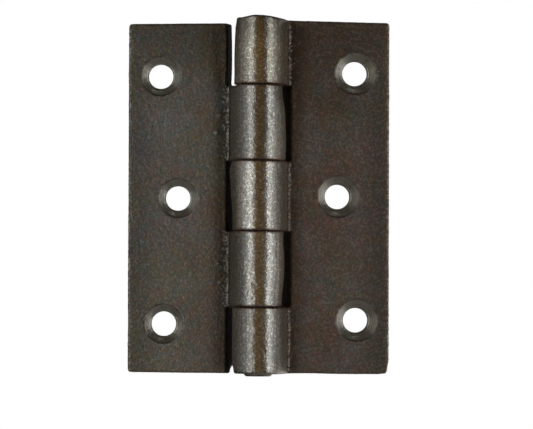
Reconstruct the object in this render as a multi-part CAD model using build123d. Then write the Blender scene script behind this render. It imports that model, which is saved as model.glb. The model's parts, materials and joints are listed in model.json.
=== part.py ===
from build123d import *
from math import cos, radians, sin, tan
import os

# A cast-iron butt hinge of the three-inch size, opened flat. The pin stands along Z, with the origin
# at its middle. The leaves spread along X, the three-knuckle leaf towards +X, and their countersunk
# faces look towards -Y. Lengths are in millimetres, angles in degrees.

# Barrel
barrel_diameter = 11.3
barrel_length = 76.7
outer_knuckle_length = 14.35
middle_knuckle_length = 15.1
knuckle_gap = 0.06

# Pin
pin_diameter = 6.0
pin_top_stand_out = 0.15
pin_bottom_stand_out = 0.5
pin_bevel = 0.35
pin_seat_clearance = 0.02
pin_running_clearance = 0.08

# Leaves: the edges were ground by hand, so their ends are a little out of square
leaf_reach = 28.2
leaf_thickness = 3.5
fixed_top_slope = 1.4
swing_top_setback = 0.75
swing_end_slope = 0.6
leaf_corner_radius = 0.6
edge_bevel = 0.2

# Roots, where a knuckle's wall runs down to its own leaf
root_draft = 15.0
root_fillet = 0.4

# Recesses, where a leaf clears the other leaf's knuckles: their walls run in under the other barrel,
# but the top one was filed open right through
recess_face_clearance = 1.35
recess_undercut = 0.85
top_recess_back_clearance = 0.25
recess_corner_radius = 0.5

# Screw holes, placed from the ends of the barrel and the outer edge of the leaf
screw_hole_diameter = 5.4
outer_hole_end_distance = 11.6
outer_hole_edge_distance = 7.4
fixed_middle_hole_edge_distance = 11.3
swing_middle_hole_edge_distance = 10.7
swing_hole_drop = 0.5
countersink_angle = 90.0
fixed_countersink_diameter = 9.1
fixed_countersink_offset = 0.35
swing_countersink_diameter = 8.5

barrel_radius = barrel_diameter / 2
half_barrel = barrel_length / 2
pin_radius = pin_diameter / 2
back_y = barrel_radius
face_y = back_y - leaf_thickness

# Knuckles from the top of the barrel to the bottom, each as its lower and upper end
outer_end = half_barrel - outer_knuckle_length
middle_end = middle_knuckle_length / 2
top_knuckle = (outer_end, half_barrel)
upper_knuckle = (middle_end + knuckle_gap, outer_end - knuckle_gap)
middle_knuckle = (-middle_end, middle_end)
lower_knuckle = (-upper_knuckle[1], -upper_knuckle[0])
bottom_knuckle = (-half_barrel, -outer_end)


def upright(outline, low, high):
    """A plan outline drawn up between two heights."""
    return extrude(Pos(0, 0, low) * outline, high - low)


def leaf_section():
    """Plan of a leaf and its knuckle: a plate, tangent to the barrel behind, with a drafted root."""
    draft = radians(root_draft)
    wall_top = (barrel_radius * cos(draft), -barrel_radius * sin(draft))
    wall_foot = (wall_top[0] + (face_y - wall_top[1]) * tan(draft), face_y)
    barrel = ThreePointArc((0, back_y), (-barrel_radius, 0), wall_top)
    plate = Polyline(wall_top, wall_foot, (leaf_reach, face_y), (leaf_reach, back_y), (0, back_y))
    section = make_face([barrel, plate])
    foot = section.vertices().sort_by_distance(wall_foot)[0]
    return fillet(foot, root_fillet)


def recess(knuckle, back_clearance):
    """The room that one knuckle of the other leaf turns in: a leaning wall with rounded corners."""
    low, high = knuckle
    low -= barrel_length if low == -half_barrel else knuckle_gap
    high += barrel_length if high == half_barrel else knuckle_gap
    lean = (recess_face_clearance - back_clearance) / leaf_thickness
    wall_at_face = barrel_radius + recess_face_clearance
    front, back, far = -barrel_diameter, barrel_diameter, -barrel_length
    outline = [
        (far, front),
        (wall_at_face + lean * (face_y - front), front),
        (wall_at_face + lean * (face_y - back), back),
        (far, back),
    ]
    room = upright(make_face(Polyline(*outline, close=True)), low, high)
    wall = room.faces().sort_by(Axis.X)[-1]
    ends = wall.edges().filter_by(Plane.XY)
    return fillet(ends, recess_corner_radius)


def screw_hole(reach, height, countersink_diameter, countersink_offset):
    """A drilled hole and its countersink, which may sit a little outboard of it."""
    into_face = Plane(origin=(reach, face_y, height), x_dir=(1, 0, 0), z_dir=(0, -1, 0))
    radius = countersink_diameter / 2
    depth = radius / tan(radians(countersink_angle / 2))
    hole = Cylinder(screw_hole_diameter / 2, 4 * leaf_thickness)
    countersink = Pos(countersink_offset, 0, -depth / 2) * Cone(0, radius, depth)
    return into_face * (hole + countersink)


def sharp_edges(solid):
    """Edges where two faces meet at a corner, not in a smooth run."""
    found = ShapeList()
    for edge in solid.edges():
        middle = edge.position_at(0.5)
        sides = [face for face in solid.faces() if any(edge.is_same(rim) for rim in face.edges())]
        normals = [side.normal_at(middle) for side in sides]
        if normals[0].dot(normals[-1]) < cos(radians(30)):
            found.append(edge)
    return found


def leaf(recesses, top, top_slope, bottom_slope, bore_radius, holes):
    """One casting that reaches towards +X, with its ends ground, its edges filed and its holes drilled."""
    body = upright(leaf_section(), -barrel_length, barrel_length)
    lean = radians(top_slope)
    body = split(body, Plane((0, 0, top), z_dir=(sin(lean), 0, cos(lean))), keep=Keep.BOTTOM)
    lean = radians(bottom_slope)
    body = split(body, Plane((0, 0, -half_barrel), z_dir=(sin(lean), 0, -cos(lean))), keep=Keep.BOTTOM)
    for room in recesses:
        body -= room
    outer_edge = body.faces().sort_by(Axis.X)[-1]
    corners = outer_edge.edges().filter_by(Axis.Y)
    body = fillet(corners, leaf_corner_radius)
    body = chamfer(sharp_edges(body), edge_bevel)
    body -= Cylinder(bore_radius, 2 * barrel_length)
    for hole in holes:
        body -= hole
    return body


outer_hole_reach = leaf_reach - outer_hole_edge_distance
outer_hole_height = half_barrel - outer_hole_end_distance
fixed_middle_reach = leaf_reach - fixed_middle_hole_edge_distance
fixed_hole_places = [
    (outer_hole_reach, outer_hole_height),
    (fixed_middle_reach, 0),
    (outer_hole_reach, -outer_hole_height),
]
fixed_leaf = leaf(
    recesses=[recess(upper_knuckle, -recess_undercut), recess(lower_knuckle, -recess_undercut)],
    top=half_barrel,
    top_slope=fixed_top_slope,
    bottom_slope=0,
    bore_radius=pin_radius + pin_seat_clearance,
    holes=[
        screw_hole(reach, height, fixed_countersink_diameter, fixed_countersink_offset)
        for reach, height in fixed_hole_places
    ],
)

swing_middle_reach = leaf_reach - swing_middle_hole_edge_distance
swing_hole_places = [
    (outer_hole_reach, outer_hole_height),
    (swing_middle_reach, 0),
    (outer_hole_reach, -outer_hole_height),
]
swing_leaf = leaf(
    recesses=[
        recess(top_knuckle, top_recess_back_clearance),
        recess(middle_knuckle, -recess_undercut),
        recess(bottom_knuckle, -recess_undercut),
    ],
    top=half_barrel - swing_top_setback,
    top_slope=swing_end_slope,
    bottom_slope=swing_end_slope,
    bore_radius=pin_radius + pin_running_clearance,
    holes=[
        screw_hole(reach, height - swing_hole_drop, swing_countersink_diameter, 0)
        for reach, height in swing_hole_places
    ],
)
swing_leaf = mirror(swing_leaf, about=Plane.YZ)

# The pin is a cut length of rod with bevelled ends, almost flush at the top and proud at the bottom
pin = Cylinder(pin_radius, pin_top_stand_out + barrel_length + pin_bottom_stand_out)
pin = chamfer(pin.edges().filter_by(GeomType.CIRCLE), pin_bevel)

# The barrel sits on the pin a little above its middle
barrel_place = Pos(0, 0, (pin_bottom_stand_out - pin_top_stand_out) / 2)
fixed_leaf = barrel_place * fixed_leaf
swing_leaf = barrel_place * swing_leaf

os.makedirs("parts", exist_ok=True)
export_step(fixed_leaf, "parts/fixed_leaf.step")
export_step(swing_leaf, "parts/swing_leaf.step")
export_step(pin, "parts/pin.step")
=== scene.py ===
import json
from math import cos, pi, radians, sin, tan

import bpy
import numpy as np
from mathutils import Matrix, Vector


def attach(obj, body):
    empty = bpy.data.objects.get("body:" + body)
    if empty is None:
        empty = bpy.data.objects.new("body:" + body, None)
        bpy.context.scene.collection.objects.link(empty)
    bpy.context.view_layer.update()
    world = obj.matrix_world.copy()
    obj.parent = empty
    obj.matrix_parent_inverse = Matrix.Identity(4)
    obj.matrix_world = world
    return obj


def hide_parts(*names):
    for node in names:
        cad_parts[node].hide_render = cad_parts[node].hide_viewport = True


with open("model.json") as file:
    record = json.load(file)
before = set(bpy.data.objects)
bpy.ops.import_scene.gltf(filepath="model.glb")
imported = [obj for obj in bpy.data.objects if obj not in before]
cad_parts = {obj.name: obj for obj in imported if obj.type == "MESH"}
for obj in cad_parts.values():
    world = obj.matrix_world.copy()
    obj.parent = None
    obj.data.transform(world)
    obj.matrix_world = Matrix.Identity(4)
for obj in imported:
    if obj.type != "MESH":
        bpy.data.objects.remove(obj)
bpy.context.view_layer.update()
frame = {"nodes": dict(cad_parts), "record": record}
bpy.context.scene.view_settings.view_transform = "Standard"


# Three-knuckle leaf: the right-hand leaf, one casting in grey iron from a sand mould, left raw.
# Its knuckles were rubbed on a belt, its edges ground by hand, and its three screw holes drilled
# and countersunk. The pin is driven into its outer knuckles and stays in them.
MM = 0.001
LEAF_REACH = 28.2
FACE_DEPTH = 2.15
MID_DEPTH = 3.9
BARREL_RADIUS = 5.65
BARREL_END = 39.0
JOINT_HEIGHTS = [24.145, 7.755, -7.405, -23.795]
TOP_JOINT, UPPER_JOINT, LOWER_JOINT, BOTTOM_JOINT = JOINT_HEIGHTS
SKIN_SPACING = 0.28
MERGE_DISTANCE = 0.001


def casting(node, name):
    """A finely and evenly divided copy of a packed leaf, to be worked over."""
    bpy.ops.object.select_all(action="DESELECT")
    piece = bpy.data.objects.new(name, frame["nodes"][node].data.copy())
    bpy.context.scene.collection.objects.link(piece)
    piece.select_set(True)
    bpy.context.view_layer.objects.active = piece
    bpy.ops.mesh.customdata_custom_splitnormals_clear()
    bpy.ops.object.mode_set(mode="EDIT")
    bpy.ops.mesh.select_all(action="SELECT")
    bpy.ops.mesh.remove_doubles(threshold=MERGE_DISTANCE * MM)
    bpy.ops.object.mode_set(mode="OBJECT")
    skin = piece.modifiers.new("even skin", "REMESH")
    skin.mode = "VOXEL"
    skin.voxel_size = SKIN_SPACING * MM
    skin.use_smooth_shade = True
    bpy.ops.object.modifier_apply(modifier=skin.name)
    eased = piece.modifiers.new("eased", "SMOOTH")
    eased.factor = 0.5
    eased.iterations = 2
    bpy.ops.object.modifier_apply(modifier=eased.name)
    return piece


def points_of(piece):
    """Places of a piece's points, in millimetres."""
    points = np.empty(3 * len(piece.data.vertices))
    piece.data.vertices.foreach_get("co", points)
    return points.reshape(-1, 3) / MM


def move_points(piece, points):
    """Puts a piece's points at new places, in millimetres."""
    piece.data.vertices.foreach_set("co", (points * MM).ravel())
    piece.data.update()


def note(piece, name, values):
    """Stores one number for each point of a piece, for its material to read."""
    piece.data.attributes.new(name, "FLOAT", "POINT").data.foreach_set("value", values)


def drag(piece, chosen, reach, push):
    """Moves the chosen points, and those round them less and less out to the reach. Millimetres."""
    bpy.ops.object.mode_set(mode="EDIT")
    bpy.ops.mesh.select_all(action="DESELECT")
    bpy.ops.object.mode_set(mode="OBJECT")
    piece.data.vertices.foreach_set("select", chosen)
    bpy.ops.object.mode_set(mode="EDIT")
    bpy.ops.transform.translate(
        value=Vector(push) * MM,
        use_proportional_edit=True,
        proportional_edit_falloff="SMOOTH",
        proportional_size=reach * MM,
    )
    bpy.ops.object.mode_set(mode="OBJECT")


def grab(piece, at, reach, push):
    """Drags the surface at a place, less and less out to the reach, all in millimetres."""
    distances = np.linalg.norm(points_of(piece) - at, axis=1)
    drag(piece, distances < distances.min() + SKIN_SPACING, reach, push)


def true_bore(piece, radius, middle, plane):
    """Brings a bore's wall back to its true radius about its middle, in a plane of two axes."""
    points = points_of(piece)
    spokes = points[:, plane] - middle
    distances = np.linalg.norm(spokes, axis=1)
    inside = distances < radius + SKIN_SPACING
    spokes[inside] *= (radius / distances[inside])[:, None]
    points[:, plane] = spokes + middle
    move_points(piece, points)


JOINT_REACH = 0.6
JOINT_SURROUND = 0.9
JOINT_SQUEEZE = 0.12
JOINT_HALF_WIDTH = 0.03
CONE_SLOPE = 0.12
RUST_REACH = 0.8
RUST_SURROUND = 0.3


def close_joints(piece):
    """Closes the joints that the even skin left wide, and cones them so that no light gets through."""
    points = points_of(piece)
    distances = np.hypot(points[:, 0], points[:, 1])
    inside = BARREL_RADIUS + JOINT_SURROUND - distances
    rust = np.zeros(len(points))
    for height in JOINT_HEIGHTS:
        rise = points[:, 2] - height
        rust = np.maximum(rust, np.clip(1 - np.abs(rise) / RUST_REACH, 0, 1))
        near = (np.abs(rise) < JOINT_REACH) & (inside > 0)
        squeeze = JOINT_SQUEEZE * (1 - np.abs(rise) / JOINT_REACH) * np.clip(inside, 0, 1)
        closed = np.sign(rise) * np.maximum(np.abs(rise) - squeeze, JOINT_HALF_WIDTH)
        cone = CONE_SLOPE * np.maximum(BARREL_RADIUS - distances, 0)
        points[near, 2] = (height + closed + cone)[near]
    move_points(piece, points)
    note(piece, "joint_rust", rust * (distances < BARREL_RADIUS + RUST_SURROUND))


HOLE_SURROUND = 5.2
HOLE_SHIFT_REACH = 3.0
SCREW_HOLE_RADIUS = 2.66
COUNTERSINK_DEPTH = 2.4
NO_HOLE = 20.0


def screw_places(side):
    """Places of a leaf's three screw holes across its face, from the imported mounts, in millimetres."""
    mounts = {mount["name"]: mount for mount in frame["record"]["mounts"]}
    outer = mounts[side + "_outer_screws"]
    middle = mounts[side + "_middle_screw"]
    x, _, z = outer["pos_m"]
    half = outer["dims"]["spacing_y_mm"] / 2
    return [
        (x / MM, z / MM + half),
        (middle["pos_m"][0] / MM, middle["pos_m"][2] / MM),
        (x / MM, z / MM - half),
    ]


def drill_by_eye(piece, side, strays, countersink_offset):
    """Shifts each screw hole off its mark, and notes how far each point is from a countersink's axis."""
    axes = []
    for (x, z), (stray_x, stray_z) in zip(screw_places(side), strays):
        points = points_of(piece)
        round_hole = np.hypot(points[:, 0] - x, points[:, 2] - z) < HOLE_SURROUND
        drag(piece, round_hole, HOLE_SHIFT_REACH, (stray_x, 0, stray_z))
        true_bore(piece, SCREW_HOLE_RADIUS, (x + stray_x, z + stray_z), (0, 2))
        axes.append((x + stray_x + countersink_offset, z + stray_z))
    points = points_of(piece)
    distances = [np.hypot(points[:, 0] - x, points[:, 2] - z) for x, z in axes]
    back = points[:, 1] > FACE_DEPTH + COUNTERSINK_DEPTH
    note(piece, "hole_distance", np.where(back, NO_HOLE, np.min(distances, axis=0)))


BEAD_REACH = 0.4
BEAD_HEIGHT = 0.15
PIT_REACH = 0.4
PIT_DEPTH = 0.05


def drag_spots(piece, name, spots, reach):
    """Drags little spots of the surface, each a place and a push, and notes how near each point is."""
    nearness = np.zeros(len(piece.data.vertices))
    for place, push in spots:
        distances = np.linalg.norm(points_of(piece) - place, axis=1)
        nearness = np.maximum(nearness, np.clip(1 - distances / reach, 0, 1))
        grab(piece, place, reach, push)
    note(piece, name, nearness)


def beads(piece, places):
    """Raises the beads of iron that the mould left on a leaf's face, at places across and up."""
    raised = [((x, FACE_DEPTH, z), (0, -BEAD_HEIGHT, 0)) for x, z in places]
    drag_spots(piece, "bead", raised, BEAD_REACH)


def blow_holes(piece, places):
    """Sinks the little pits that gas left in the barrel's front, at places across and up."""
    sunk = []
    for x, z in places:
        outward = Vector((x, -np.sqrt(BARREL_RADIUS**2 - x**2), 0)) / BARREL_RADIUS
        mouth = outward * BARREL_RADIUS + Vector((0, 0, z))
        sunk.append((mouth, outward * -PIT_DEPTH))
    drag_spots(piece, "pit", sunk, PIT_REACH)


WEAR_ROUNDS = 14
FULL_WEAR = 0.1


def note_wear(piece):
    """Notes how far each point stands out from the run of the surface, where hands and doors rub it."""
    points = points_of(piece)
    links = np.empty(2 * len(piece.data.edges), dtype=int)
    piece.data.edges.foreach_get("vertices", links)
    starts, ends = links.reshape(-1, 2).T
    neighbours = np.bincount(links, minlength=len(points))
    eased = points
    for _ in range(WEAR_ROUNDS):
        sums = [
            np.bincount(starts, eased[ends, axis], len(points))
            + np.bincount(ends, eased[starts, axis], len(points))
            for axis in range(3)
        ]
        eased = np.stack(sums, axis=1) / neighbours[:, None]
    normals = np.empty(3 * len(points))
    piece.data.vertices.foreach_get("normal", normals)
    stand_out = np.sum((points - eased) * normals.reshape(-1, 3), axis=1) / FULL_WEAR
    note(piece, "rubbed", np.clip(stand_out, 0, 1))


POLISH_PLACES = [-5.2, -3.5, -2, 0, 2, 4.2]
CROWN_HEIGHTS = [32, 38.5]
CROWN_POLISH = [1, 0.6]


def note_polish(piece, knuckles):
    """Notes how bright the rubbing left each knuckle, at six places from its left to its right."""
    x, _, z = points_of(piece).T
    polish = np.ones(len(x))
    for low, high, brightness in knuckles:
        on_knuckle = (z > low) & (z < high)
        polish = np.where(on_knuckle, np.interp(x, POLISH_PLACES, brightness), polish)
    note(piece, "polish", polish * np.interp(z, CROWN_HEIGHTS, CROWN_POLISH))


BARREL_SURROUND = 0.5
BARREL_GRAIN = 0.3
PIN_SURROUND = 3.6
CUT_SURROUND = 4.8


def raw_skin(piece):
    """How much of the mould's grain each point of a casting kept: less where rubbed, none where cut."""
    points = points_of(piece)
    hole_distances = np.empty(len(points))
    piece.data.attributes["hole_distance"].data.foreach_get("value", hole_distances)
    axis_distances = np.hypot(points[:, 0], points[:, 1])
    kept = np.where(axis_distances < BARREL_RADIUS + BARREL_SURROUND, BARREL_GRAIN, 1.0)
    uncut = (axis_distances > PIN_SURROUND) & (hole_distances > CUT_SURROUND)
    return np.where(uncut, kept, 0.0)


SKIN_WANDER = 0.3
SCATTER_WIDTH = 3
SCATTER_SHARE = 0.5
OUTER_EDGE_WIDTH = 0.4
OUTER_EDGE_DEPTH = 0.7
# Where the painted shade in the recesses fades out, across and towards the back
RECESS_SHADE_ACROSS = [6.8, 7.6]
RECESS_SHADE_BEHIND = [BARREL_RADIUS - 0.6, BARREL_RADIUS - 0.2]


def rough_edges(piece, inner, outer, knuckles, recess_shade):
    """Notes the sandy strips, beside a leaf's own knuckles and on its outer edge, and the painted shade in
    the recesses.

    Gives the sandy points.
    """
    x, y, z = points_of(piece).T
    reach = np.abs(x)
    beside_knuckle = np.any([(z > low) & (z < high) for low, high, _ in knuckles], axis=0)
    sanded = (reach > inner) & (y < FACE_DEPTH + SKIN_WANDER) & beside_knuckle
    strip = sanded & (reach < outer)
    scatter = np.clip((outer + SCATTER_WIDTH - reach) / SCATTER_WIDTH, 0, 1) * sanded
    outer_edge = (reach > LEAF_REACH - OUTER_EDGE_WIDTH) & (y < FACE_DEPTH + OUTER_EDGE_DEPTH)
    note(piece, "gritty", np.where(strip, 1.0, SCATTER_SHARE * scatter) + outer_edge)
    # Painted shade: the recesses beside the other leaf's knuckles are darkened, fading out across and
    # towards the back
    in_recess = np.interp(reach, RECESS_SHADE_ACROSS, [1, 0]) * ~beside_knuckle
    note(piece, "painted_recess_shade", recess_shade * in_recess * np.interp(y, RECESS_SHADE_BEHIND, [1, 0]))
    return (strip | outer_edge).astype(float)


WAVE_SIZE = 5.0
WAVE_HEIGHT = 0.07
GRAIN_SIZE = 0.9
GRAIN_HEIGHT = 0.08
SAND_SIZE = 0.6


def raise_grain(piece, name, weights, size, height):
    """Lifts and sinks the points, each by its weight, in grains of a size, in millimetres."""
    group = piece.vertex_groups.new(name=name)
    for weight in np.unique(weights):
        group.add(np.flatnonzero(weights == weight).tolist(), weight, "REPLACE")
    texture = bpy.data.textures.new(name, "CLOUDS")
    texture.noise_scale = size * MM
    texture.noise_depth = 2
    grain = piece.modifiers.new(name, "DISPLACE")
    grain.texture = texture
    grain.texture_coords = "LOCAL"
    grain.strength = height * MM
    grain.vertex_group = group.name
    bpy.context.view_layer.objects.active = piece
    bpy.ops.object.modifier_apply(modifier=grain.name)


def add_node(tree, kind, inputs, **settings):
    """Adds a node, with each of its inputs set to a value or linked to an output."""
    made = tree.nodes.new(kind)
    for name, value in settings.items():
        setattr(made, name, value)
    for socket, value in inputs.items():
        if isinstance(value, bpy.types.NodeSocket):
            tree.links.new(value, made.inputs[socket])
        else:
            made.inputs[socket].default_value = value
    return made


def calculate(tree, operation, first, second=0.0, third=0.0):
    """One step of arithmetic. Only some operations use the second and third value."""
    inputs = {0: first, 1: second, 2: third}
    return add_node(tree, "ShaderNodeMath", inputs, operation=operation).outputs[0]


def ramp(tree, value, start, end):
    """A soft step from 0 at one value to 1 at another."""
    inputs = {"Value": value, "From Min": start, "From Max": end}
    return add_node(tree, "ShaderNodeMapRange", inputs, interpolation_type="SMOOTHSTEP").outputs[0]


def between(tree, amount, first, second):
    """A value between two others."""
    return add_node(tree, "ShaderNodeMix", {0: amount, 2: first, 3: second}).outputs[0]


def tint(tree, amount, first, second, blend="MIX"):
    """Two colours, mixed or multiplied by an amount."""
    inputs = {0: amount, 6: first, 7: second}
    return add_node(tree, "ShaderNodeMix", inputs, data_type="RGBA", blend_type=blend).outputs[2]


def cloud(tree, place, size, detail, roughness=0.5):
    """Cloudy noise of a size in millimetres, about 0.5 on average."""
    inputs = {"Vector": place, "Scale": 1 / size, "Detail": detail, "Roughness": roughness}
    return add_node(tree, "ShaderNodeTexNoise", inputs).outputs["Fac"]


def cloud_hues(tree, place, size, detail, strengths):
    """Cloudy noise of a size in millimetres that varies red, green and blue each by itself, about 1."""
    inputs = {"Vector": place, "Scale": 1 / size, "Detail": detail, "Roughness": 0.6}
    noise = add_node(tree, "ShaderNodeTexNoise", inputs).outputs["Color"]
    inputs = {0: noise, 1: strengths, 2: [1 - strength / 2 for strength in strengths]}
    return add_node(tree, "ShaderNodeVectorMath", inputs, operation="MULTIPLY_ADD").outputs[0]


def spread(tree, value, low, high):
    """Cloudy noise, spread from a low to a high value."""
    inputs = {"Value": value, "From Min": 0.25, "From Max": 0.75, "To Min": low, "To Max": high}
    return add_node(tree, "ShaderNodeMapRange", inputs).outputs[0]


def noted(tree, name):
    """What was noted under a name for each point of the piece."""
    return add_node(tree, "ShaderNodeAttribute", {}, attribute_name=name).outputs["Fac"]


def own_place(tree):
    """Places in the piece's own frame, in millimetres."""
    inputs = {0: add_node(tree, "ShaderNodeTexCoord", {}).outputs["Object"], "Scale": 1 / MM}
    return add_node(tree, "ShaderNodeVectorMath", inputs, operation="SCALE").outputs[0]


SKIN_COLORS = (
    "Iron",
    "Oxide",
    "Olive",
    "Dirt and shade",
    "Rubbed iron",
    "Root sand",
    "Cut iron",
    "Rim rust",
    "Joint rust",
)
SKIN_VALUES = ("Grain", "Barrel shade", "Darker above", "Countersink radius")
OXIDE_COVER = 0.6
EDGE_DIRT = (0.26, 0.26, 0.26, 1)
# Painted shade colour for the recesses beside the knuckles
RECESS_SHADE_COLOR = (0.08, 0.055, 0.05, 1)
PORE_SPACING = 1.1
RING_PITCH = 0.4
RING_HEIGHT = 0.12


def cast_skin_group():
    """Raw cast iron: oxide in blotches and grains, a sandy skin, rubbed knuckles, cut countersinks."""
    group = bpy.data.node_groups.new("cast skin", "ShaderNodeTree")
    for name in SKIN_COLORS:
        group.interface.new_socket(name, in_out="INPUT", socket_type="NodeSocketColor")
    for name in SKIN_VALUES:
        group.interface.new_socket(name, in_out="INPUT", socket_type="NodeSocketFloat")
    group.interface.new_socket("Color", in_out="OUTPUT", socket_type="NodeSocketColor")
    for name in ("Roughness", "Metal", "Height"):
        group.interface.new_socket(name, in_out="OUTPUT", socket_type="NodeSocketFloat")
    given = group.nodes.new("NodeGroupInput").outputs
    result = group.nodes.new("NodeGroupOutput").inputs

    # Noise of several sizes, and pores in the thicker blotches
    place = own_place(group)
    blotch = cloud(group, place, size=8.0, detail=5.0, roughness=0.6)
    hue = cloud(group, place, size=2.4, detail=6.0, roughness=0.75)
    patch = cloud(group, place, size=1.2, detail=4.0, roughness=0.65)
    speck = cloud(group, place, size=0.7, detail=3.0, roughness=0.6)
    grit = cloud(group, place, size=0.5, detail=2.0, roughness=0.6)
    cells = {"Vector": place, "Scale": 1 / PORE_SPACING}
    pores = ramp(group, add_node(group, "ShaderNodeTexVoronoi", cells).outputs["Distance"], 0.17, 0.09)
    pores = calculate(group, "MULTIPLY", pores, ramp(group, blotch, 0.46, 0.54))

    # Where the barrel, the worn edges, the gritty roots and the countersinks are
    x, y, z = add_node(group, "ShaderNodeSeparateXYZ", {0: place}).outputs
    reach = calculate(group, "ABSOLUTE", x)
    across = add_node(group, "ShaderNodeVectorMath", {0: place, 1: (1.0, 1.0, 0.0)}, operation="MULTIPLY")
    axis_distance = add_node(group, "ShaderNodeVectorMath", {0: across.outputs[0]}, operation="LENGTH")
    barrel = ramp(group, axis_distance.outputs["Value"], BARREL_RADIUS + 0.9, BARREL_RADIUS + 0.3)
    barrel = calculate(group, "MULTIPLY", barrel, ramp(group, y, 3.6, 1.8))
    rim = calculate(group, "SUBTRACT", noted(group, "hole_distance"), given["Countersink radius"])
    wander = calculate(group, "MULTIPLY_ADD", patch, 0.5, calculate(group, "SUBTRACT", rim, 0.25))
    machined = ramp(group, wander, 0.15, -0.25)
    round_rim = {"W": rim, "Scale": 1 / RING_PITCH, "Detail": 3.0, "Roughness": 0.7}
    rings = add_node(group, "ShaderNodeTexNoise", round_rim, noise_dimensions="1D").outputs["Fac"]
    rim_line = ramp(group, calculate(group, "ABSOLUTE", rim), 0.25, 0.05)
    rim_line = calculate(group, "MULTIPLY", rim_line, spread(group, hue, 0.0, 0.75))
    rim_stain = calculate(group, "MULTIPLY", ramp(group, rim, 0.9, 0.1), ramp(group, patch, 0.52, 0.64))
    edges = calculate(group, "MULTIPLY", noted(group, "rubbed"), ramp(group, rim, 0.6, 1.4))
    worn = calculate(group, "MAXIMUM", barrel, calculate(group, "MULTIPLY", edges, 0.5))
    gritty = noted(group, "gritty")
    grains = ramp(group, calculate(group, "MULTIPLY_ADD", gritty, 0.27, grit), 0.72, 0.88)
    grains = calculate(group, "MULTIPLY", grains, ramp(group, gritty, 0.0, 0.1))

    # Faces: iron under blotchy oxide, in grains of olive and brown
    kept_dry = calculate(group, "MULTIPLY", ramp(group, reach, 27.0, 17.0), OXIDE_COVER)
    rusty = calculate(group, "MULTIPLY", ramp(group, blotch, 0.36, 0.64), kept_dry)
    color = tint(group, rusty, given["Iron"], given["Oxide"])
    olive = calculate(group, "MULTIPLY", ramp(group, patch, 0.5, 0.66), 0.6)
    color = tint(group, olive, color, given["Olive"])
    brown = calculate(group, "MULTIPLY", ramp(group, patch, 0.46, 0.3), 0.6)
    color = tint(group, brown, color, given["Oxide"])

    # Clouds and flecks of colour, weaker on the backs
    uneven = calculate(group, "MULTIPLY_ADD", ramp(group, y, 4.0, 5.2), -0.65, 1.0)
    clouds = cloud_hues(group, place, 13.0, 3.0, (0.3, 0.1, 0.65))
    color = tint(group, uneven, color, clouds, "MULTIPLY")
    flecks = cloud_hues(group, place, 0.4, 2.0, (0.78, 0.78, 0.78))
    color = tint(group, uneven, color, flecks, "MULTIPLY")

    # Darkening on the fronts: painted shade beside the barrel, darker towards the top, and dirt on the
    # outer edge
    beside_barrel = ramp(group, reach, 11.5, 7.0)
    outboard = ramp(group, reach, 20.0, 27.0)
    # Darker towards the top of the leaves
    near_top = calculate(group, "MULTIPLY", ramp(group, z, given["Darker above"], 38.0), 0.55)
    near_edge = calculate(group, "MULTIPLY", outboard, 0.44)
    dirt_and_shade = calculate(group, "MAXIMUM", near_top, near_edge)
    # Painted shade beside the barrel, where the knuckles shade the leaf
    dirt_and_shade = calculate(group, "MULTIPLY_ADD", beside_barrel, given["Barrel shade"], dirt_and_shade)
    dirt_and_shade = calculate(group, "MULTIPLY", calculate(group, "MINIMUM", dirt_and_shade, 0.75), ramp(group, y, 4.5, 3.0))
    dirt_and_shade_color = tint(group, outboard, given["Dirt and shade"], EDGE_DIRT)
    color = tint(group, dirt_and_shade, color, dirt_and_shade_color, "MULTIPLY")

    # Light and dark grains, some redder and some bluer
    dots = calculate(group, "MULTIPLY_ADD", ramp(group, grit, 0.42, 0.72), given["Grain"], 0.86)
    color = tint(group, 1.0, color, dots, "MULTIPLY")
    hues = tint(group, ramp(group, hue, 0.33, 0.67), (0.87, 1.04, 1.03, 1), (1.12, 0.96, 0.94, 1))
    color = tint(group, 1.0, color, hues, "MULTIPLY")
    hues = tint(group, ramp(group, speck, 0.35, 0.65), (0.99, 1.0, 1.1, 1), (1.01, 1.0, 0.9, 1))
    color = tint(group, 1.0, color, hues, "MULTIPLY")

    # Knuckles and worn edges: bare iron in bright and dark grains, browner where the belt missed it
    polished = {0: given["Rubbed iron"], "Scale": noted(group, "polish")}
    bare = add_node(group, "ShaderNodeVectorMath", polished, operation="SCALE").outputs[0]
    dots = calculate(group, "MULTIPLY_ADD", ramp(group, grit, 0.45, 0.75), 0.9, 0.73)
    bare = tint(group, 1.0, bare, dots, "MULTIPLY")
    bare = tint(group, 0.4, bare, flecks, "MULTIPLY")
    bare = tint(group, ramp(group, patch, 0.45, 0.65), bare, (1.03, 1.0, 0.89, 1), "MULTIPLY")
    bare = tint(group, ramp(group, z, 20.0, 30.0), bare, (1.03, 1.0, 0.92, 1), "MULTIPLY")
    bare = tint(group, pores, bare, (0.2, 0.18, 0.15, 1), "MULTIPLY")
    bare = tint(group, ramp(group, reach, 2.6, 4.2), bare, (1.02, 0.97, 0.93, 1), "MULTIPLY")
    unrubbed = ramp(group, reach, 3.6, 5.6)
    bare = tint(group, unrubbed, bare, (0.81, 0.75, 0.67, 1), "MULTIPLY")
    color = tint(group, worn, color, bare)

    # Sand and beads at the roots, painted shade in the recesses, cut cones, and rust at rims, pits and
    # joints
    bright = calculate(group, "MAXIMUM", grains, ramp(group, noted(group, "bead"), 0.15, 0.75))
    color = tint(group, calculate(group, "MULTIPLY", bright, 0.7), color, given["Root sand"])
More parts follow.
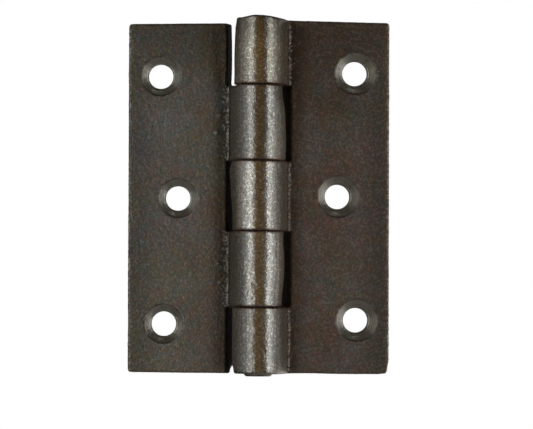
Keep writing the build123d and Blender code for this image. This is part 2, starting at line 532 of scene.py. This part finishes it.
    # Painted shade darkens the recesses
    color = tint(group, noted(group, "painted_recess_shade"), color, RECESS_SHADE_COLOR, "MULTIPLY")
    turned_iron = tint(group, 1.0, given["Cut iron"], spread(group, rings, 0.55, 1.45), "MULTIPLY")
    color = tint(group, machined, color, turned_iron)
    color = tint(group, rim_line, color, given["Rim rust"])
    color = tint(group, calculate(group, "MULTIPLY", rim_stain, 0.25), color, given["Rim rust"])
    color = tint(group, ramp(group, noted(group, "pit"), 0.25, 0.9), color, given["Rim rust"])
    seeping = calculate(group, "MULTIPLY", noted(group, "joint_rust"), spread(group, patch, 0.35, 1.15))
    color = tint(group, seeping, color, given["Joint rust"])
    group.links.new(color, result["Color"])

    # Shine: dull faces, smoother knuckles and cones, and a skin of oxide down the barrel's flanks
    rough = spread(group, speck, 0.42, 0.58)
    rough = between(group, worn, rough, between(group, unrubbed, 0.27, 0.45))
    rough = between(group, calculate(group, "SUBTRACT", gritty, grains), rough, 0.65)
    # The recesses with painted shade are also made rough
    rough = between(group, noted(group, "painted_recess_shade"), rough, 0.95)
    rough = between(group, machined, rough, 0.34)
    group.links.new(rough, result["Roughness"])
    skinned = calculate(group, "MULTIPLY", unrubbed, barrel)
    group.links.new(between(group, skinned, 0.95, 0.65), result["Metal"])

    # Relief in millimetres: sand on the faces, waves and fine pits on the barrel, rings in the cones
    sandy = calculate(group, "MULTIPLY_ADD", grit, 0.06, calculate(group, "MULTIPLY", speck, 0.12))
    wavy = calculate(group, "MULTIPLY", cloud(group, place, size=3.0, detail=1.0), 0.12)
    pitted = calculate(group, "MULTIPLY_ADD", speck, 0.025, wavy)
    pitted = calculate(group, "MULTIPLY_ADD", grit, 0.047, pitted)
    turned = calculate(group, "MULTIPLY", rings, RING_HEIGHT)
    height = between(group, machined, between(group, worn, sandy, pitted), turned)
    group.links.new(height, result["Height"])
    return group


cast_skin = cast_skin_group()


def cast_iron(name, colors, values):
    """A leaf's finish: the cast skin on dull metal."""
    material = bpy.data.materials.new(name)
    material.use_nodes = True
    tree = material.node_tree
    skin = add_node(tree, "ShaderNodeGroup", {}, node_tree=cast_skin)
    for socket, color in colors.items():
        skin.inputs[socket].default_value = (*color, 1.0)
    for socket, value in values.items():
        skin.inputs[socket].default_value = value
    bump = add_node(tree, "ShaderNodeBump", {"Height": skin.outputs["Height"], "Distance": MM})
    shader = tree.nodes["Principled BSDF"]
    tree.links.new(skin.outputs["Color"], shader.inputs["Base Color"])
    tree.links.new(skin.outputs["Metal"], shader.inputs["Metallic"])
    tree.links.new(skin.outputs["Roughness"], shader.inputs["Roughness"])
    tree.links.new(bump.outputs["Normal"], shader.inputs["Normal"])
    return material


FIXED_PIN_BORE = 3.02
FIXED_COUNTERSINK = 4.55
FIXED_COUNTERSINK_OFFSET = 0.35
FIXED_HOLE_STRAYS = [(-0.15, -0.05), (0.05, 0), (0.15, 0.05)]
FIXED_BEADS = [(6.9, 28.8), (6.9, 3.4), (25.7, 27.3)]
FIXED_PITS = [(-1.8, -28.6), (1.3, -33.2), (-2.6, -1.5)]
FIXED_SAND_HEIGHT = 0.2

# Each knuckle's lower and upper end, and how bright it is at the polish places
FIXED_KNUCKLES = [
    (TOP_JOINT, BARREL_END, [1.15, 1.35, 0.93, 1.14, 0.88, 1.0]),
    (LOWER_JOINT, UPPER_JOINT, [0.6, 1.8, 1.27, 0.98, 1.09, 0.88]),
    (-BARREL_END, BOTTOM_JOINT, [0.8, 0.87, 0.56, 1.1, 1.0, 0.82]),
]

# Each dent or bulge as its place, its reach and its push, in millimetres
free_side = -BARREL_RADIUS
three_knuckle_dents = [
    # Top knuckle: a leaning flank, a domed crown and worn corners
    ((free_side, 0, 37.5), 9, (0.5, 0, 0)),
    ((free_side, 0, 27), 8, (0.3, 0, 0)),
    ((0, -BARREL_RADIUS, 38.5), 6, (0, 0, 0.4)),
    ((free_side, 0, 38.5), 1.5, (0.25, 0, -0.2)),
    ((-3.6, -4, 38.5), 3, (0, 0, -0.2)),
    # Middle knuckle: a bulging flank with a worn upper corner
    ((free_side, 0, 6.5), 4.5, (-0.55, 0, 0)),
    ((free_side, 0, 3), 4.5, (-0.25, 0, 0)),
    ((free_side, 0, -0.5), 4.5, (-0.2, 0, 0)),
    ((free_side - 0.5, 0, 7.4), 1.3, (0.35, 0, -0.25)),
    # Bottom knuckle: worn lower corners
    ((free_side, 0, -38), 1.8, (0.4, 0, 0.4)),
    ((-4.5, -2, -38.2), 3, (0, 0, 0.2)),
    # Bottom edge and its outer corner, ground away
    ((10, MID_DEPTH, -38.2), 8, (0, 0, 0.15)),
    ((LEAF_REACH, MID_DEPTH, -38), 3, (-0.5, 0, 0)),
    ((27.8, MID_DEPTH, -38.2), 1.6, (-0.1, 0, 0.35)),
    # Undercuts of the two recesses
    ((4.9, BARREL_RADIUS, 23), 5, (-0.25, 0, 0)),
    ((4.9, BARREL_RADIUS, -23), 4, (-0.3, 0, 0)),
]

three_knuckle_leaf = casting("fixed_leaf", "three_knuckle_leaf")
for at, reach, push in three_knuckle_dents:
    grab(three_knuckle_leaf, at, reach, push)
true_bore(three_knuckle_leaf, FIXED_PIN_BORE, (0, 0), (0, 1))
close_joints(three_knuckle_leaf)
drill_by_eye(three_knuckle_leaf, "fixed", FIXED_HOLE_STRAYS, FIXED_COUNTERSINK_OFFSET)
beads(three_knuckle_leaf, FIXED_BEADS)
blow_holes(three_knuckle_leaf, FIXED_PITS)
note_wear(three_knuckle_leaf)
note_polish(three_knuckle_leaf, FIXED_KNUCKLES)
raise_grain(three_knuckle_leaf, "right leaf waves", raw_skin(three_knuckle_leaf), WAVE_SIZE, WAVE_HEIGHT)
raise_grain(three_knuckle_leaf, "right leaf grain", raw_skin(three_knuckle_leaf), GRAIN_SIZE, GRAIN_HEIGHT)
sandy_points = rough_edges(three_knuckle_leaf, 5.9, 7.0, FIXED_KNUCKLES, recess_shade=0.35)
raise_grain(three_knuckle_leaf, "right leaf sand", sandy_points, SAND_SIZE, FIXED_SAND_HEIGHT)
three_knuckle_leaf.data.materials.clear()
three_knuckle_leaf.data.materials.append(
    cast_iron(
        "three knuckle leaf iron",
        {
            "Iron": (0.168, 0.157, 0.151),
            "Oxide": (0.148, 0.1, 0.079),
            "Olive": (0.158, 0.132, 0.1),
            "Dirt and shade": (0.27, 0.225, 0.18),
            "Rubbed iron": (0.286, 0.282, 0.265),
            "Root sand": (0.33, 0.27, 0.21),
            "Cut iron": (0.38, 0.368, 0.322),
            "Rim rust": (0.06, 0.03, 0.018),
            "Joint rust": (0.16, 0.07, 0.035),
        },
        {
            "Grain": 0.62,
            # Strength of the painted shade beside the barrel
            "Barrel shade": 0.4,
            "Darker above": 4.0,
            "Countersink radius": FIXED_COUNTERSINK,
        },
    )
)
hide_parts("fixed_leaf")
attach(three_knuckle_leaf, "fixed_side")


# Two-knuckle leaf: the left-hand leaf, cast and finished as its mate is, a shade greyer. It has the
# two knuckles between the other three, and turns freely on the pin.
SWING_PIN_BORE = 3.08
SWING_COUNTERSINK = 4.25
SWING_HOLE_STRAYS = [(-0.45, -0.3), (0.05, 0.05), (0.35, -0.35)]
SWING_BEADS = [
    (-7.6, 20.5),
    (-8.4, 17.8),
    (-7.4, 15.2),
    (-9.2, 14),
    (-8.8, -14.4),
    (-8.2, -18.4),
    (-6.7, -23.3),
]
SWING_PITS = [
    (2.9, 17.6),
    (2.7, 12.5),
    (-2.2, -14.2),
    (-1.5, -16.5),
    (-0.9, -19.0),
    (-2.4, -20.8),
    (-1.2, -22.0),
]
SWING_SAND_HEIGHT = 0.15
SWING_KNUCKLES = [
    (UPPER_JOINT, TOP_JOINT, [0.78, 0.8, 0.8, 0.8, 0.84, 1.08]),
    (BOTTOM_JOINT, LOWER_JOINT, [0.7, 0.72, 1.0, 1.14, 1.1, 1.27]),
]

free_side = BARREL_RADIUS
two_knuckle_dents = [
    # Upper knuckle: narrow at its top, full lower down
    ((free_side, 0, 23.7), 6, (-0.65, 0, 0)),
    ((free_side, 0, 12), 7, (0.2, 0, 0)),
    # Lower knuckle: narrow at both ends
    ((free_side, 0, -9), 4, (-0.3, 0, 0)),
    ((free_side, 0, -14), 5, (-0.1, 0, 0)),
    ((free_side, 0, -23.5), 8, (-0.6, 0, 0)),
    # Lower inner corner of the leaf, filed back
    ((-4.8, BARREL_RADIUS, -38), 2.6, (-1.1, 0, 0)),
    # Upper knuckle's end above its root, and the wall beside the top knuckle
    ((-5.4, -1, 24.1), 3, (0, 0, -0.55)),
    ((-6, MID_DEPTH, 31), 9, (0.2, 0, 0)),
]

two_knuckle_leaf = casting("swing_leaf", "two_knuckle_leaf")
for at, reach, push in two_knuckle_dents:
    grab(two_knuckle_leaf, at, reach, push)
true_bore(two_knuckle_leaf, SWING_PIN_BORE, (0, 0), (0, 1))
close_joints(two_knuckle_leaf)
drill_by_eye(two_knuckle_leaf, "swing", SWING_HOLE_STRAYS, 0)
beads(two_knuckle_leaf, SWING_BEADS)
blow_holes(two_knuckle_leaf, SWING_PITS)
note_wear(two_knuckle_leaf)
note_polish(two_knuckle_leaf, SWING_KNUCKLES)
raise_grain(two_knuckle_leaf, "left leaf waves", raw_skin(two_knuckle_leaf), WAVE_SIZE, WAVE_HEIGHT)
raise_grain(two_knuckle_leaf, "left leaf grain", raw_skin(two_knuckle_leaf), GRAIN_SIZE, GRAIN_HEIGHT)
sandy_points = rough_edges(two_knuckle_leaf, 6.3, 7.9, SWING_KNUCKLES, recess_shade=1.0)
raise_grain(two_knuckle_leaf, "left leaf sand", sandy_points, SAND_SIZE, SWING_SAND_HEIGHT)
two_knuckle_leaf.data.materials.clear()
two_knuckle_leaf.data.materials.append(
    cast_iron(
        "two knuckle leaf iron",
        {
            "Iron": (0.212, 0.215, 0.207),
            "Oxide": (0.18, 0.145, 0.114),
            "Olive": (0.204, 0.2, 0.14),
            "Dirt and shade": (0.275, 0.27, 0.265),
            "Rubbed iron": (0.286, 0.284, 0.268),
            "Root sand": (0.28, 0.275, 0.26),
            "Cut iron": (0.38, 0.368, 0.322),
            "Rim rust": (0.065, 0.036, 0.022),
            "Joint rust": (0.16, 0.07, 0.035),
        },
        {
            "Grain": 0.4,
            # Strength of the painted shade beside the barrel
            "Barrel shade": 0.85,
            "Darker above": 17.0,
            "Countersink radius": SWING_COUNTERSINK,
        },
    )
)
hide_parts("swing_leaf")
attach(two_knuckle_leaf, "swing_side")


# Pin: a length of drawn steel rod, sawn off and eased at both ends, then darkened with the rest.
# It is driven into the outer knuckles from above until its top is almost flush.
PIN_STEEL = (0.2, 0.185, 0.16, 1)
PIN_TARNISH = (0.12, 0.085, 0.055, 1)
SCRATCH_DEPTH = 0.02

pin_steel = bpy.data.materials.new("pin steel")
pin_steel.use_nodes = True
tree = pin_steel.node_tree
place = own_place(tree)
patches = cloud(tree, place, size=1.6, detail=5.0, roughness=0.6)
scratches = cloud(tree, place, size=0.25, detail=3.0)
color = tint(tree, ramp(tree, patches, 0.35, 0.65), PIN_STEEL, PIN_TARNISH)
rough = calculate(tree, "MULTIPLY_ADD", scratches, 0.25, 0.32)
bump = add_node(tree, "ShaderNodeBump", {"Height": scratches, "Distance": SCRATCH_DEPTH * MM})
shader = tree.nodes["Principled BSDF"]
shader.inputs["Metallic"].default_value = 0.85
tree.links.new(color, shader.inputs["Base Color"])
tree.links.new(rough, shader.inputs["Roughness"])
tree.links.new(bump.outputs["Normal"], shader.inputs["Normal"])
frame["nodes"]["pin"].material_slots[0].material = pin_steel


# Floor: a pale studio table, well below the hinge. It glows for the camera alone, which sees it
# nearly white. Metres.
FLOOR_HEIGHT = -0.45
FLOOR_SPAN = 4.0
FLOOR_COLOR = (0.5, 0.5, 0.49, 1)
FLOOR_GLOW_COLOR = (1, 1, 0.98, 1)
FLOOR_GLOW = 0.75

bpy.ops.object.select_all(action="DESELECT")
bpy.ops.mesh.primitive_plane_add(size=FLOOR_SPAN, location=(0, 0, FLOOR_HEIGHT))
floor = bpy.context.object
floor.name = "floor"
pale = bpy.data.materials.new("pale table")
pale.use_nodes = True
shader = pale.node_tree.nodes["Principled BSDF"]
shader.inputs["Base Color"].default_value = FLOOR_COLOR
shader.inputs["Roughness"].default_value = 0.9
shader.inputs["Emission Color"].default_value = FLOOR_GLOW_COLOR
seen = add_node(pale.node_tree, "ShaderNodeLightPath", {}).outputs["Is Camera Ray"]
glow = calculate(pale.node_tree, "MULTIPLY", seen, FLOOR_GLOW)
pale.node_tree.links.new(glow, shader.inputs["Emission Strength"])
floor.data.materials.append(pale)


# Lights: a softbox on each side of the camera, which draws a bright line down each flank of the
# barrel, each with two more beyond it, and a high one behind for the backs of the leaves. The
# room is dim, warmer behind the camera, and has a white backdrop.
LAMP_DISTANCE = 0.6
ROOM_COLOR = (0.05, 0.047, 0.043, 1)
WARM_COLOR = (0.26, 0.15, 0.043, 1)
WHITE = (1, 1, 1, 1)


def softbox(name, bearings, height, tall, radiance, distance=LAMP_DISTANCE):
    """An area lamp that fills a span of bearings from the camera's side. Degrees and metres."""
    middle = radians(sum(bearings) / 2)
    half_span = radians(abs(bearings[1] - bearings[0]) / 2)
    place = Vector((distance * sin(middle), -distance * cos(middle), height))
    lamp = bpy.data.lights.new(name, "AREA")
    lamp.shape = "RECTANGLE"
    lamp.size = 2 * distance * tan(half_span)
    lamp.size_y = tall
    lamp.energy = radiance * pi * lamp.size * lamp.size_y
    holder = bpy.data.objects.new(name, lamp)
    holder.location = place
    holder.rotation_euler = (-place).to_track_quat("-Z", "Y").to_euler()
    holder.visible_camera = False
    bpy.context.scene.collection.objects.link(holder)


softbox("left key", bearings=(-26, -46), height=0.0, tall=0.5, radiance=2.3)
softbox("left wing", bearings=(-46, -72), height=0.1, tall=0.6, radiance=0.6)
softbox("left side", bearings=(-72, -110), height=0.15, tall=0.6, radiance=0.27)
softbox("right key", bearings=(39, 59), height=0.0, tall=0.5, radiance=2.35)
softbox("right wing", bearings=(59, 85), height=-0.1, tall=0.6, radiance=0.9)
softbox("right side", bearings=(97, 155), height=-0.15, tall=0.6, radiance=1.75)
softbox("back light", bearings=(145, 185), height=0.8, tall=0.6, radiance=2.0, distance=0.8)

world = bpy.data.worlds.new("studio")
bpy.context.scene.world = world
world.use_nodes = True
tree = world.node_tree
direction = add_node(tree, "ShaderNodeTexCoord", {}).outputs["Generated"]
ahead = add_node(tree, "ShaderNodeSeparateXYZ", {0: direction}).outputs["Y"]
room = tint(tree, ramp(tree, ahead, -0.86, -0.94), ROOM_COLOR, WARM_COLOR)
backdrop = ramp(tree, ahead, 0.94, 0.97)
rays = add_node(tree, "ShaderNodeLightPath", {}).outputs
mirrored = calculate(tree, "MULTIPLY", rays["Is Glossy Ray"], backdrop)
seen = calculate(tree, "MAXIMUM", rays["Is Camera Ray"], rays["Is Transmission Ray"])
white = calculate(tree, "MAXIMUM", seen, mirrored)
surround = tint(tree, white, room, WHITE)
tree.links.new(surround, tree.nodes["Background"].inputs["Color"])


# Camera: a long lens, square to the leaves and level with the lower knuckles. It stands three
# quarters of a metre away.
PHOTO_WIDTH = 533
FOCAL_PIXELS = 3466
SENSOR_WIDTH = 36
CAMERA_PLACE = Vector((1.5, -746.9, -25.3)) * MM
CAMERA_AIM = Vector((1.7, FACE_DEPTH, -3.75)) * MM
CAMERA_ROLL = 0.2

lens = bpy.data.cameras.new("camera")
lens.sensor_width = SENSOR_WIDTH
lens.lens = FOCAL_PIXELS / PHOTO_WIDTH * SENSOR_WIDTH
camera = bpy.data.objects.new("camera", lens)
camera.location = CAMERA_PLACE
upright = (CAMERA_AIM - CAMERA_PLACE).to_track_quat("-Z", "Y").to_matrix()
camera.rotation_euler = (upright @ Matrix.Rotation(radians(CAMERA_ROLL), 3, "Z")).to_euler()
bpy.context.scene.collection.objects.link(camera)
bpy.context.scene.camera = camera
